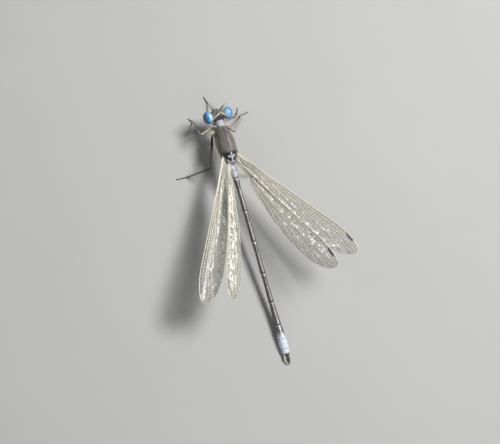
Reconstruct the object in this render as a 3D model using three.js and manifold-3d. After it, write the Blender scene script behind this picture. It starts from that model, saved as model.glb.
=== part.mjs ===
// A spreadwing damselfly at life size, resting head up with its wings half open.
// Millimetres. The head points to -Y, the tail to +Y, the insect's left side to +X, and the floor is z = 0.
import * as THREE from 'three';
import { mergeVertices } from 'three/addons/utils/BufferGeometryUtils.js';
import Module from 'manifold-3d';

const wasm = await Module();
wasm.setup();

// Driving dimensions

const GAP = 0.3; // clearance kept between neighbouring parts
const WIDE_GAP = 0.42; // clearance where a limb leaves the body at a slant
const PITCH = THREE.MathUtils.degToRad(8); // head up, tail down
const SOLE = 0.08; // depth of the small flats under the feet and the tail

const HEAD = { back: -4.15, rise: 0.05, width: 4.62, eyeReach: [0.74, 0.95, 1.0], eyeTurn: 0.12 };
const NECK_FRONT = -3.62; // place along the body where the neck meets the head

const THORAX = {
  front: -2.5,
  sides: 18,
  slant: 0.3, // how far the upper side leans back and the lower side forward
  // place along the body, half width, height above and depth below the body axis
  stations: [
    [-2.5, 0.64, 0.72, 1.0],
    [-2.2, 0.82, 0.98, 1.42],
    [-1.5, 1.1, 1.34, 1.7],
    [-0.5, 1.34, 1.6, 1.78],
    [0.7, 1.42, 1.68, 1.74],
    [1.8, 1.3, 1.6, 1.55],
    [2.7, 1.05, 1.38, 1.15],
    [3.2, 0.78, 1.08, 0.7],
    [3.45, 0.5, 0.82, 0.42],
  ],
};

const ABDOMEN = {
  rise: 0.15, // its axis above the body axis
  sides: 12,
  joints: [3.7, 4.6, 5.75, 10.9, 15.7, 20.7, 25.2, 28.8, 30.9, 32.5, 33.6],
  // half width at the front, the waist and the rear of each length
  radii: [
    [0.52, 0.55, 0.56],
    [0.56, 0.52, 0.48],
    [0.45, 0.33, 0.4],
    [0.37, 0.33, 0.4],
    [0.37, 0.33, 0.4],
    [0.37, 0.34, 0.43],
    [0.4, 0.43, 0.55],
    [0.55, 0.62, 0.66],
    [0.66, 0.68, 0.66],
    [0.64, 0.62, 0.52],
  ],
  waist: 0.35, // where the narrowest ring of a length sits
  restsOn: 32.0, // the place along the body where the tail lies on the floor
};

const CERCUS = {
  start: 33.5,
  reach: 1.35,
  apart: 0.36, // from the middle line at the root
  bow: 0.17, // how far it curves out on the way
  inward: 0.06, // how much nearer the middle line its tip lies
  above: 0.22, // its root above the abdomen's axis
  sink: 0.1, // how much lower its tip lies
  radii: [0.22, 0.22, 0.2, 0.17, 0.12],
  steps: [0, 0.3, 0.6, 0.85, 1],
};

const WING = {
  thickness: 0.5,
  ridge: 0.14, // height of the main veins above the membrane
  ridgeWidth: 0.2,
  ridgeShare: 0.09, // the most of the chord that a ridge may take
  fullRidge: 1.6, // chord from which the ridges have their full height
  stalk: 0.34, // half width of the narrow stalk
  stalkEnd: 0.11, // share of the length
  widest: 0.7,
  bow: 0.85, // where the front edge reaches furthest ahead
  bowEase: 1.3, // above 1, the front edge is slightly hollow on the way there
  openEase: 0.42, // below 1, the rear edge opens quickly past the stalk
  tipEase: 2.3, // the higher, the blunter the tip
  stigma: [0.874, 0.934],
  veins: [0.17, 0.34, 0.52, 0.7, 0.86], // shares of the chord, from the leading edge
  // share of the chord and of the ridge's height along the thick front edge
  frontRidge: [
    [0, 0.6],
    [0.06, 0.4],
  ],
  // shares of the length where the outline and the ridges have their points
  rows: [
    0, 0.06, 0.12, 0.18, 0.25, 0.32, 0.39, 0.47, 0.55, 0.63, 0.71, 0.78,
    0.835, 0.868, 0.94, 0.965, 0.985, 0.996,
  ],
};
// Angles in degrees: back from square to the body, rise of its sideways lean, twist of the front edge down
const FOREWING = {
  length: 23.7,
  chord: 4.0,
  lead: 0.34, // share of the chord ahead of the wing's line
  root: [0.9, 2.3, 0.6],
  left: { back: 33.2, rise: 31, twist: 13 },
  right: { back: 37.2, rise: 36, twist: 14 },
};
const HINDWING = {
  length: 22.4,
  chord: 4.1,
  lead: 0.27,
  root: [0.55, 3.5, 1.25],
  left: { back: 31.4, rise: 47, twist: 1 },
  right: { back: 33, rise: 50, twist: 3 },
};

const LEG = { sides: 8, coxa: 0.34, trochanter: 0.32, femur: 0.28, knee: 0.26, ankle: 0.25, toe: 0.18 };

// Leg joints in the floor's frame: root inside the body, trochanter, knee, ankle and toe
const LEGS = {
  fore_left: [
    [0.3, -3.1, 4.7],
    [0.5, -3.4, 3.75],
    [-1.0, -4.75, 2.6],
    [-0.68, -7.3, 0.42],
    [-0.44, -8.54, 0.18],
  ],
  mid_left: [
    [0.5, -2.2, 4.4],
    [1.0, -2.75, 3.8],
    [3.24, -2.05, 4.7],
    [2.5, -5.2, 0.42],
    [3.01, -5.81, 0.18],
  ],
  hind_left: [
    [0.6, -1.5, 4.0],
    [1.15, -1.75, 3.2],
    [3.19, 3.2, 4.2],
    [5.97, 2.84, 0.42],
    [7.69, 2.75, 0.18],
  ],
  fore_right: [
    [-0.3, -3.1, 4.7],
    [-0.65, -3.4, 3.8],
    [-2, -4.05, 3.2],
    [-4.41, -4.34, 0.42],
    [-5, -5.45, 0.18],
  ],
  mid_right: [
    [-0.5, -2.2, 4.4],
    [-1.1, -2.7, 3.9],
    [-1.93, -1.23, 4.7],
    [-5.25, -4.25, 0.42],
    [-6.35, -4.46, 0.18],
  ],
  hind_right: [
    [-0.6, -1.5, 4.0],
    [-1.2, -1.7, 3.2],
    [-2.0, 3.75, 3.7],
    [-5.3, 6.0, 0.42],
    [-6.5, 7.2, 0.18],
  ],
};

// Materials

const finish = (color, roughness, metalness = 0, opacity = 1) =>
  new THREE.MeshStandardMaterial({ color, roughness, metalness, opacity, transparent: opacity < 1 });

const COLOURS = {
  head: [0x8d8783, 0.5],
  eye: [0x66abdc, 0.2],
  antenna: [0x35302c, 0.5],
  prothorax: [0xb7b2bd, 0.6],
  thorax: [0x8f8078, 0.45, 0.15],
  pruinose: [0xaeb6c2, 0.7],
  abdomen: [0x2f2a2c, 0.4, 0.15],
  cercus: [0x8c7850, 0.5],
  wing: [0xe6dfc2, 0.25, 0, 0.55],
  leg: [0x6f5c40, 0.5],
};

// Frames: the body leans by PITCH about the thorax centre, and its tail rests on the floor

const tailRadius = ABDOMEN.radii[8][1];
const bodyHeight =
  ABDOMEN.restsOn * Math.sin(PITCH) - ABDOMEN.rise * Math.cos(PITCH) + tailRadius / Math.cos(PITCH) - SOLE;

const insect = new THREE.Group();
const body = new THREE.Group();
insect.add(body);
body.position.z = bodyHeight;
body.rotation.x = -PITCH;
const legFrame = new THREE.Group();
insect.add(legFrame);
insect.updateMatrixWorld(true);
const bodyToLegs = body.matrixWorld.clone(); // the legs stand in the floor's own frame

// Geometry helpers

// Points closer than this are one point
const WELD = 1e-5;

// A geometry with only its positions, shared between its triangles
function bare(geometry) {
  const copy = geometry.clone();
  const extra = Object.keys(copy.attributes).filter((name) => name !== 'position');
  extra.forEach((name) => copy.deleteAttribute(name));
  return mergeVertices(copy, WELD);
}

function solid(geometry) {
  const merged = bare(geometry);
  return new wasm.Manifold(
    new wasm.Mesh({
      numProp: 3,
      vertProperties: new Float32Array(merged.attributes.position.array),
      triVerts: new Uint32Array(merged.index.array),
    }),
  );
}

// The largest closed surface of a solid, as a geometry
function largest(manifold) {
  const pieces = manifold.decompose().sort((a, b) => b.volume() - a.volume());
  const mesh = pieces[0].getMesh();
  const count = mesh.vertProperties.length / mesh.numProp;
  const points = new Float32Array(count * 3);
  for (let i = 0; i < count; i++) {
    const first = i * mesh.numProp;
    points.set(mesh.vertProperties.subarray(first, first + 3), 3 * i);
  }
  const geometry = new THREE.BufferGeometry();
  geometry.setAttribute('position', new THREE.BufferAttribute(points, 3));
  geometry.setIndex(new THREE.BufferAttribute(new Uint32Array(mesh.triVerts), 1));
  return geometry;
}

const joined = (solids) => solids.reduce((whole, next) => whole.add(next));
const cut = (whole, tools) => tools.reduce((left, tool) => left.subtract(tool), whole);

// A closed skin over rings with the same number of points
function loft(rings) {
  const n = rings[0].length;
  const points = rings.flat();
  const index = [];
  for (let i = 0; i < rings.length - 1; i++) {
    for (let j = 0; j < n; j++) {
      const a = i * n + j;
      const b = i * n + ((j + 1) % n);
      index.push(a, b, b + n, a, b + n, a + n);
    }
  }
  const middle = (ring) => ring.reduce((sum, p) => sum.add(p), new THREE.Vector3()).divideScalar(n);
  const first = points.length;
  points.push(middle(rings[0]), middle(rings[rings.length - 1]));
  const last = (rings.length - 1) * n;
  for (let j = 0; j < n; j++) {
    const k = (j + 1) % n;
    index.push(first, k, j);
    index.push(first + 1, last + j, last + k);
  }
  const geometry = new THREE.BufferGeometry().setFromPoints(points);
  geometry.setIndex(index);
  return geometry;
}

// An egg-shaped ring across the body, wider by grow
function bodyRing([back, halfWidth, above, below], sides, grow = 0, rise = 0, slant = 0) {
  const ring = [];
  for (let j = 0; j < sides; j++) {
    const angle = (2 * Math.PI * j) / sides;
    const up = Math.sin(angle);
    const across = -Math.cos(angle) * (halfWidth + grow);
    const height = up * ((up > 0 ? above : below) + grow);
    ring.push(new THREE.Vector3(across, back + slant * up, rise + height));
  }
  return ring;
}

// The value at share u between b and c on a smooth curve through a, b, c and d
function between(a, b, c, d, u) {
  const slope = c - a;
  const square = 2 * a - 5 * b + 4 * c - d;
  const cube = 3 * b - a - 3 * c + d;
  return 0.5 * (2 * b + u * (slope + u * (square + u * cube)));
}

// Stations eased between their given places, evenly spaced along the body and smooth in their sizes
function smooth(stations, steps) {
  const eased = [];
  const last = stations.length - 1;
  const at = (i) => stations[Math.min(Math.max(i, 0), last)];
  for (let i = 0; i < last; i++) {
    const around = [at(i - 1), at(i), at(i + 1), at(i + 2)];
    for (let k = 0; k < steps; k++) {
      const u = k / steps;
      const sizes = at(i).slice(1).map((_, d) => between(...around.map((row) => row[d + 1]), u));
      eased.push([THREE.MathUtils.lerp(at(i)[0], at(i + 1)[0], u), ...sizes]);
    }
  }
  eased.push(stations[last]);
  return eased;
}

function bodyLoft(stations, sides, { grow = 0, rise = 0, steps = 1, slant = 0 } = {}) {
  const eased = steps > 1 ? smooth(stations, steps) : stations;
  const rings = eased.map((station) => bodyRing(station, sides, grow, rise, slant));
  rings[0].forEach((point) => (point.y -= grow));
  rings[rings.length - 1].forEach((point) => (point.y += grow));
  return loft(rings);
}

function egg([x, y, z], [rx, ry, rz], { across = 12, down = 8, turn = [0, 0, 0], grow = 0 } = {}) {
  const geometry = new THREE.SphereGeometry(1, across, down);
  geometry.scale(rx + grow, ry + grow, rz + grow);
  const spin = new THREE.Euler(...turn);
  geometry.applyMatrix4(new THREE.Matrix4().makeRotationFromEuler(spin));
  return geometry.translate(x, y, z);
}

// A softened end reaches past the last point by a share of the radius there, and narrows to another
const END_REACH = 0.45;
const END_WIDTH = 0.55;

// A round limb through points, with its own radius at each and softened ends
function limb(path, radii, { sides = LEG.sides, grow = 0 } = {}) {
  const points = path.map((p) => (p.isVector3 ? p.clone() : new THREE.Vector3(...p)));
  const count = points.length;
  const along = points.map((p, i) =>
    points[Math.min(i + 1, count - 1)].clone().sub(points[Math.max(i - 1, 0)]).normalize(),
  );
  const upright = Math.abs(along[0].z) > 0.9;
  const side = upright ? new THREE.Vector3(0, 1, 0) : new THREE.Vector3(0, 0, 1);
  const rings = [];
  const ringAt = (centre, direction, radius) => {
    side.addScaledVector(direction, -side.dot(direction)).normalize();
    const other = direction.clone().cross(side);
    const ring = [];
    for (let j = 0; j < sides; j++) {
      const angle = (2 * Math.PI * j) / sides;
      const point = centre.clone();
      point.addScaledVector(side, Math.cos(angle) * radius);
      point.addScaledVector(other, Math.sin(angle) * radius);
      ring.push(point);
    }
    rings.push(ring);
  };
  const ended = (i, sign) => {
    const reach = sign * (radii[i] * END_REACH + grow);
    ringAt(points[i].clone().addScaledVector(along[i], reach), along[i], (radii[i] + grow) * END_WIDTH);
  };
  ended(0, -1);
  points.forEach((p, i) => ringAt(p, along[i], radii[i] + grow));
  ended(count - 1, 1);
  return loft(rings);
}

function place(parent, name, geometry, colour) {
  const mesh = new THREE.Mesh(geometry, finish(...COLOURS[colour]));
  mesh.name = name;
  geometry.computeVertexNormals();
  parent.add(mesh);
  return mesh;
}

const SIDES = { left: 1, right: -1 };

// The floor as a solid below z = 0, in the frame of a given group
function floorIn(group) {
  const slab = new THREE.BoxGeometry(120, 120, 10).translate(0, 0, -5);
  return solid(slab.applyMatrix4(group.matrixWorld.clone().invert()));
}

// Thorax and prothorax

const SPINE = {
  points: [
    [0, -2.2, 0.92],
    [0, -0.6, 1.62],
    [0, 1.2, 1.66],
  ],
  radii: [0.12, 0.16, 0.12],
};
const BOSS = { inward: 0.2, below: 0.05, reach: [0.34, 0.5, 0.3] }; // the swelling under a wing's root

// The chest with a boss under each wing root and the ridge along its back, wider by grow
function thoraxParts(grow = 0) {
  const parts = [
    bodyLoft(THORAX.stations, THORAX.sides, { grow, steps: 2, slant: THORAX.slant }),
    limb(SPINE.points, SPINE.radii, { sides: 6, grow }),
  ];
  for (const side of Object.values(SIDES)) {
    for (const { root } of [FOREWING, HINDWING]) {
      const [x, y, z] = root;
      parts.push(egg([side * (x - BOSS.inward), y, z - BOSS.below], BOSS.reach, { grow }));
    }
  }
  return parts;
}

// The chest grown by a gap, as a cutting tool in the frame that a matrix leads to
const chestTool = (matrix = new THREE.Matrix4(), gap = GAP) =>
  joined(thoraxParts(gap).map((part) => solid(part.applyMatrix4(matrix))));

const PROTHORAX_STATIONS = [
  [NECK_FRONT, 0.3, 0.34, 0.36],
  [-3.42, 0.42, 0.42, 0.62],
  [-3.3, 0.62, 0.58, 0.86],
  [-3.0, 0.68, 0.68, 1.0],
  [THORAX.front - GAP, 0.6, 0.6, 0.95],
];
const prothoraxShape = (grow = 0) => bodyLoft(PROTHORAX_STATIONS, 14, { grow });

function makeThorax() {
  place(body, 'thorax', largest(joined(thoraxParts().map(solid))), 'thorax');
  place(body, 'prothorax', largest(cut(solid(prothoraxShape()), [chestTool()])), 'prothorax');
}

// Head, eyes and antennae

const eyeAt = (side) => [side * (HEAD.width / 2 - HEAD.eyeReach[0]), HEAD.back, HEAD.rise + 0.05];
const eyeShape = (side, grow = 0) =>
  egg(eyeAt(side), HEAD.eyeReach, { across: 20, down: 14, grow, turn: [0, 0, side * HEAD.eyeTurn] });

// A feeler leans out, forward and up, and curves out towards its tip
const ANTENNA = {
  root: [0.6, -0.8, 0.52], // from the middle of the head
  lean: [0.3, -0.42, 0.85],
  steps: [0.46, 0.8, 1.25, 1.7],
  radii: [0.25, 0.22, 0.16, 0.1],
  curl: 0.04,
};

function makeAntenna(name, side) {
  const [across, ahead, up] = ANTENNA.root;
  const root = new THREE.Vector3(side * across, HEAD.back + ahead, HEAD.rise + up);
  const lean = new THREE.Vector3(...ANTENNA.lean).normalize();
  lean.x *= side;
  const path = ANTENNA.steps.map((reach, i) => {
    const point = root.clone().addScaledVector(lean, reach);
    point.x += side * ANTENNA.curl * i * i;
    return point;
  });
  place(body, `antenna_${name}`, bare(limb(path, ANTENNA.radii, { sides: 7 })), 'antenna');
}

function makeHead() {
  const { back, rise } = HEAD;
  const pieces = [
    egg([0, back, rise + 0.08], [1.7, 0.72, 0.84], { across: 20, down: 12 }), // crown between the eyes
    egg([0, back - 0.3, rise - 0.15], [0.95, 0.62, 0.8], { across: 16, down: 12 }), // forehead
    egg([0, back - 0.78, rise - 0.34], [0.62, 0.3, 0.24], { across: 14 }), // upper lip shield
    egg([0, back - 0.66, rise - 0.74], [0.6, 0.34, 0.26], { across: 14 }), // upper lip
    egg([0, back - 0.1, rise - 0.98], [0.58, 0.74, 0.3], { across: 14 }), // lower lip
    egg([0, back + 0.45, rise], [1.5, 0.35, 0.7], { across: 16 }), // back of the head
  ];
  for (const side of Object.values(SIDES)) {
    pieces.push(egg([side * 0.6, back - 0.3, rise - 0.78], [0.34, 0.56, 0.36], { across: 12 })); // jaw
    pieces.push(egg([side * 0.27, back - 0.18, rise + 0.88], [0.12, 0.12, 0.12], { across: 8, down: 6 }));
    pieces.push(egg([side * 0.55, back - 0.68, rise + 0.42], [0.22, 0.2, 0.2], { across: 10, down: 6 }));
  }
  pieces.push(egg([0, back - 0.42, rise + 0.8], [0.13, 0.13, 0.13], { across: 8, down: 6 })); // simple eye
  const mouth = new THREE.TorusGeometry(0.72, 0.05, 6, 24).scale(1, 1.1, 1);
  mouth.translate(0, back - 0.22, rise - 0.93);
  const lipLine = new THREE.TorusGeometry(0.66, 0.045, 6, 24).scale(1, 0.9, 1);
  lipLine.translate(0, back - 0.46, rise - 0.54);
  const nape = egg([0, back + 1.15, rise + 0.2], [1.05, 0.95, 1.25], { across: 18, down: 10 });
  const tools = [mouth, lipLine, nape, prothoraxShape(GAP), eyeShape(1, GAP), eyeShape(-1, GAP)].map(solid);
  place(body, 'head', largest(cut(joined(pieces.map(solid)), tools)), 'head');
  for (const [name, side] of Object.entries(SIDES)) {
    place(body, `eye_${name}`, largest(solid(eyeShape(side))), 'eye');
    makeAntenna(name, side);
  }
}

// Abdomen in ten lengths, and the pincers

function abdomenStations(i) {
  const start = ABDOMEN.joints[i] + GAP / 2;
  const end = ABDOMEN.joints[i + 1] - GAP / 2;
  const [front, waist, rear] = ABDOMEN.radii[i];
  const span = end - start;
  const swell = Math.min(0.25, span * 0.12); // the thickened ring at the rear of a length
  const rows = [
    [start, front * 0.82],
    [start + swell, front],
    [start + span * ABDOMEN.waist, waist],
    [start + span * 0.7, waist + (rear - waist) * 0.45],
    [end - swell, rear],
    [end, rear * 0.9],
  ];
  return rows.map(([at, radius]) => [at, radius, radius, radius]);
}

function makeAbdomen() {
  const floor = floorIn(body);
  ABDOMEN.radii.forEach((_, i) => {
    const shape = solid(bodyLoft(abdomenStations(i), ABDOMEN.sides, { rise: ABDOMEN.rise }));
    const tools = i === 0 ? [chestTool()] : [floor];
    const colour = i < 2 || i > 7 ? 'pruinose' : 'abdomen';
    place(body, `abdomen_${i + 1}`, largest(cut(shape, tools)), colour);
  });
}

function makePincers() {
  const floor = floorIn(body);
  const { start, reach, apart, bow, inward, radii, steps, above, sink } = CERCUS;
  const last = ABDOMEN.radii.length - 1;
  const tail = solid(bodyLoft(abdomenStations(last), ABDOMEN.sides, { grow: GAP, rise: ABDOMEN.rise }));
  for (const [name, side] of Object.entries(SIDES)) {
    const path = steps.map((u) => {
      const out = apart + bow * Math.sin(Math.PI * u) - inward * u;
      return [side * out, start + reach * u, ABDOMEN.rise + above - sink * u];
    });
    const pincer = cut(solid(limb(path, radii)), [tail, floor]);
    place(body, `cercus_${name}`, largest(pincer), 'cercus');
  }
}

// Wings

// How far the membrane reaches to either side of the wing's line at a share of its length
function wingEdges(u, wing) {
  const { stalk, stalkEnd, widest, bow, bowEase, openEase, tipEase } = WING;
  const past = Math.max(0, (u - widest) / (1 - widest));
  const tip = Math.sqrt(Math.max(0, 1 - Math.pow(past, tipEase)));
  const bowed = Math.pow(Math.min(1, u / bow), bowEase);
  const opened = Math.pow(THREE.MathUtils.smoothstep(u, stalkEnd, widest), openEase);
  const forward = stalk + (wing.chord * wing.lead - stalk) * bowed;
  const backward = stalk + (wing.chord * (1 - wing.lead) - stalk) * opened;
  return [-forward * tip, backward * tip];
}

// Shares of the chord with the height of the surface there, lifted into a ridge at each vein
function wingColumns(chord) {
  const half = Math.min(WING.ridgeShare, WING.ridgeWidth / Math.max(chord, 1)) / 2;
  const columns = WING.frontRidge.map(([share, lift]) => ({ share, lift }));
  for (const share of WING.veins) {
    columns.push({ share: share - half, lift: 0 });
    columns.push({ share, lift: 1 });
    columns.push({ share: share + half, lift: 0 });
  }
  columns.push({ share: 1, lift: 0 });
  return columns;
}

function wingGeometry(wing, side) {
  const [stigmaStart, stigmaEnd] = WING.stigma;
  const rows = [...WING.rows, stigmaStart, stigmaEnd].sort((a, b) => a - b);
  const grids = [1, -1].map((face) =>
    rows.map((u) => {
      const [lead, trail] = wingEdges(u, wing);
      const fade = Math.min(1, (trail - lead) / WING.fullRidge);
      const inStigma = u >= stigmaStart && u <= stigmaEnd;
      return wingColumns(trail - lead).map(({ share, lift }) => {
        const raised = inStigma && share < WING.veins[0] ? 1 : lift;
        const height = WING.thickness / 2 + raised * WING.ridge * fade;
        const across = lead + (trail - lead) * share;
        return new THREE.Vector3(u * wing.length, side * across, face * height);
      });
    }),
  );
  const columns = grids[0][0].length;
  const points = grids.flat(2);
  const under = rows.length * columns;
  const index = [];
  const quad = (a, b, c, d) => index.push(a, b, c, a, c, d);
  for (let i = 0; i < rows.length - 1; i++) {
    for (let j = 0; j < columns - 1; j++) {
      const a = i * columns + j;
      quad(a, a + columns, a + columns + 1, a + 1);
      index.push(under + a, under + a + columns + 1, under + a + columns);
      index.push(under + a, under + a + 1, under + a + columns + 1);
    }
  }
  const rim = (a, b) => quad(a, b, under + b, under + a);
  for (let i = 0; i < rows.length - 1; i++) {
    rim((i + 1) * columns, i * columns);
    rim(i * columns + columns - 1, (i + 1) * columns + columns - 1);
  }
  for (let j = 0; j < columns - 1; j++) {
    rim(j, j + 1);
    rim((rows.length - 1) * columns + j + 1, (rows.length - 1) * columns + j);
  }
  if (side < 0) index.reverse(); // a mirrored wing's faces are turned back to point out
  const geometry = new THREE.BufferGeometry().setFromPoints(points);
  geometry.setIndex(index);
  return geometry;
}

function wingMatrix(wing, name, side) {
  const pose = wing[name];
  const [back, rise, twist] = [pose.back, pose.rise, pose.twist].map(THREE.MathUtils.degToRad);
  const sideways = Math.sin(back);
  const outward = new THREE.Vector3(sideways * Math.cos(rise), Math.cos(back), sideways * Math.sin(rise));
  const normal = new THREE.Vector3(-Math.sin(rise), 0, Math.cos(rise));
  const trailing = normal.clone().cross(outward);
  const chord = trailing.clone().multiplyScalar(Math.cos(twist)).addScaledVector(normal, Math.sin(twist));
  const lifted = outward.clone().cross(chord);
  [outward, chord, lifted].forEach((vector) => (vector.x *= side));
  const matrix = new THREE.Matrix4().makeBasis(outward, chord.multiplyScalar(side), lifted);
  return matrix.setPosition(side * wing.root[0], wing.root[1], wing.root[2]);
}

function makeWings() {
  for (const [kind, wing] of Object.entries({ forewing: FOREWING, hindwing: HINDWING })) {
    for (const [name, side] of Object.entries(SIDES)) {
      const matrix = wingMatrix(wing, name, side);
      const blade = cut(solid(wingGeometry(wing, side)), [chestTool(matrix.clone().invert())]);
      const mesh = place(body, `${kind}_${name}`, largest(blade), 'wing');
      matrix.decompose(mesh.position, mesh.quaternion, mesh.scale);
    }
  }
}

// Legs: each has a femur with its coxa, a tibia and a tarsus with a flat sole

function makeLegs() {
  const floor = floorIn(legFrame);
  const chest = chestTool(bodyToLegs, WIDE_GAP);
  const neckShield = solid(prothoraxShape(WIDE_GAP).applyMatrix4(bodyToLegs));
  for (const [name, points] of Object.entries(LEGS)) {
    const [root, trochanter, knee, ankle, toe] = points.map((p) => new THREE.Vector3(...p));
    const thick = trochanter.clone().lerp(knee, 0.4); // the thickest place of the thigh
    const middle = ankle.clone().lerp(toe, 0.5);
    const thighRadii = [LEG.coxa, LEG.trochanter, LEG.femur, LEG.knee];
    const thigh = (grow) => solid(limb([root, trochanter, thick, knee], thighRadii, { grow }));
    const shin = (grow) => solid(limb([knee, ankle], [LEG.knee, LEG.ankle], { grow }));
    const foot = solid(limb([ankle, middle, toe], [LEG.ankle, LEG.ankle, LEG.toe]));
    place(legFrame, `${name}_femur`, largest(cut(thigh(0), [chest, neckShield])), 'leg');
    place(legFrame, `${name}_tibia`, largest(cut(shin(0), [thigh(GAP), floor])), 'leg');
    place(legFrame, `${name}_tarsus`, largest(cut(foot, [shin(GAP), floor])), 'leg');
  }
}

makeThorax();
makeHead();
makeAbdomen();
makePincers();
makeWings();
makeLegs();

// The origin lies on the floor under the middle of the whole insect
insect.updateMatrixWorld(true);
const middle = new THREE.Box3().setFromObject(insect, true).getCenter(new THREE.Vector3());
insect.position.set(-middle.x, -middle.y, 0);

export default insect;
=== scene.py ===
"""The looks of a spreadwing damselfly at life size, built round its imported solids.

Shapes are worked out in millimetres in the insect's own frame: x is its left, y runs from head to tail and
z is its back, with the origin in the middle of the thorax. place() brings them to the floor's frame in
metres.
"""
import math

import bpy
import numpy as np
from mathutils import Matrix, Vector


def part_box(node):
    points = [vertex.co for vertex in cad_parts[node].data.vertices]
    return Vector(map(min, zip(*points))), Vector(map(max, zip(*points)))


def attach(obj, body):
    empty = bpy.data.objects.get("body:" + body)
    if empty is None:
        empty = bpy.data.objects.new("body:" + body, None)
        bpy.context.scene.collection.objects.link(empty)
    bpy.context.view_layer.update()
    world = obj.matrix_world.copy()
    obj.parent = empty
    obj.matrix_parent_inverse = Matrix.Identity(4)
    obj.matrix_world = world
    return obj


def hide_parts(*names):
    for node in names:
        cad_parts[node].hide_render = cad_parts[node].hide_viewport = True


bl_info = {
    "name": "Spreadwing damselfly",
    "version": (1, 0, 0),
    "blender": (4, 5, 0),
    "location": "View3D > Sidebar > Damselfly",
    "description": "Builds the skin, eyes, wings and legs of a life-size spreadwing damselfly",
    "category": "Object",
}

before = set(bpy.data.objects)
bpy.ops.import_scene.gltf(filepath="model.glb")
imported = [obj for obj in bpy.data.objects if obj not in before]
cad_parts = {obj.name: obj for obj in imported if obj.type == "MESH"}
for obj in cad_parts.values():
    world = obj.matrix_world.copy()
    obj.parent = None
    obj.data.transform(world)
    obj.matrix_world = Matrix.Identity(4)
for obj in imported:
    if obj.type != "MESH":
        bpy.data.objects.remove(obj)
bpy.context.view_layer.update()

# Driving dimensions, in millimetres and radians unless a comment says otherwise

MM = 0.001
PITCH = math.radians(8)
SIDES = {"left": 1, "right": -1}
SEED = 7

EYE_CENTRE = (1.57, -4.15, 0.1)
EYE_REACH = (0.74, 0.95, 1.0)
EYE_TURN = 0.12  # front end outwards
HEAD_PLACE = -4.15
HEAD_RISE = 0.05
# Rounded parts of the head: middle, from the head's own middle, half sizes, and steps round and down.
# A part that lies off the middle is there on both sides.
HEAD_PARTS = (
    ((0, 0, 0.08), (1.7, 0.72, 0.84), 48, 32),
    ((0, -0.3, -0.15), (0.95, 0.62, 0.8), 40, 28),
    ((0, -0.78, -0.34), (0.62, 0.3, 0.24), 32, 20),
    ((0, -0.66, -0.74), (0.6, 0.34, 0.26), 32, 20),
    ((0, -0.1, -0.98), (0.58, 0.74, 0.3), 32, 20),
    ((0, 0.45, 0), (1.5, 0.35, 0.7), 40, 24),
    ((0, -0.42, 0.8), (0.13, 0.13, 0.13), 16, 12),
    ((0.6, -0.3, -0.78), (0.34, 0.56, 0.36), 28, 18),
    ((0.27, -0.18, 0.88), (0.12, 0.12, 0.12), 16, 12),
    ((0.55, -0.68, 0.42), (0.22, 0.2, 0.2), 20, 14),
)
# Outline of the hollow behind the head seen from above, from its left end over its front corner
NAPE = ((1.45, -3.3), (-0.3, -4.42), (-1.35, -3.45), (-1.1, -2.4), (1.2, -2.4))
NAPE_HEIGHTS = (-0.75, 1.6)
HEAD_GRAIN = 0.04  # size of the head skin's faces

THORAX_SLANT = 0.3
THORAX_STATIONS = (
    # along the body, half width, height above and depth below the body axis
    (-4.2, 0.26, 0.2, 0.3),
    (-3.66, 0.28, 0.32, 0.36),
    (-3.45, 0.4, 0.38, 0.55),
    (-3.32, 0.58, 0.52, 0.8),
    (-3.12, 0.67, 0.6, 0.95),
    (-2.92, 0.56, 0.52, 0.92),
    (-2.78, 0.63, 0.63, 0.95),
    (-2.6, 0.62, 0.68, 0.97),
    (-2.46, 0.5, 0.58, 0.9),
    (-2.38, 0.66, 0.76, 1.08),
    (-2.15, 0.85, 1.02, 1.46),
    (-1.5, 1.11, 1.36, 1.71),
    (-0.5, 1.35, 1.61, 1.79),
    (0.7, 1.43, 1.69, 1.75),
    (1.8, 1.31, 1.6, 1.56),
    (2.6, 1.08, 1.36, 1.17),
    (3.15, 0.78, 1.06, 0.72),
    (3.45, 0.54, 0.82, 0.46),
    (3.75, 0.46, 0.62, 0.36),
)
# Seams on the sides of the chest: place at mid height, and how far back they lean as they rise
SEAMS = {"middle": (0.55, 1.5), "rear": (2.0, 1.2)}
# Raised plates between the wing roots, painted pale as glints: place along the body, place across, size
WING_PLATE_GLINTS = (
    (2.05, 0.42, 0.19),
    (2.95, 0.36, 0.18),
    (2.6, 0.76, 0.15),
    (2.28, 1.12, 0.16),
    (2.3, 0.12, 0.12),
)
ABDOMEN_RISE = 0.15
ABDOMEN_JOINTS = (3.7, 4.6, 5.75, 10.9, 15.7, 20.7, 25.2, 28.8, 30.9, 32.5, 33.6)
ABDOMEN_RADII = (
    # front, waist and rear half width of each length
    (0.52, 0.55, 0.56),
    (0.56, 0.52, 0.48),
    (0.45, 0.33, 0.4),
    (0.37, 0.33, 0.4),
    (0.37, 0.33, 0.4),
    (0.37, 0.34, 0.43),
    (0.4, 0.43, 0.55),
    (0.55, 0.62, 0.66),
    (0.66, 0.68, 0.66),
    (0.64, 0.62, 0.52),
)
TAIL_WIDTH = ABDOMEN_RADII[-1][2] * 0.9
TAIL_CAP = ((0.0, 0.92), (0.06, 0.75), (0.1, 0.45))  # place past the last joint, share of the tail's width
BODY_SIDES = 64

ANTENNA_ROOT = (0.57, -0.74, 0.46)  # from the middle of the head
ANTENNA_LEAN = (0.3, -0.42, 0.85)
ANTENNA_WIDTHS = {
    # half width by distance from the root
    0.0: 0.1, 0.1: 0.13, 0.3: 0.14, 0.42: 0.12, 0.46: 0.08, 0.5: 0.1, 0.62: 0.115,
    0.82: 0.1, 0.94: 0.075, 0.98: 0.04, 1.02: 0.035, 1.3: 0.028, 1.7: 0.012,
}
CERCUS = {"start": 33.3, "reach": 1.55, "apart": 0.34, "bow": 0.2, "inward": 0.24, "root": 0.17, "tip": 0.08}
PINCER_TEETH = (0.5, 0.75)  # shares of its length

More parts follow.
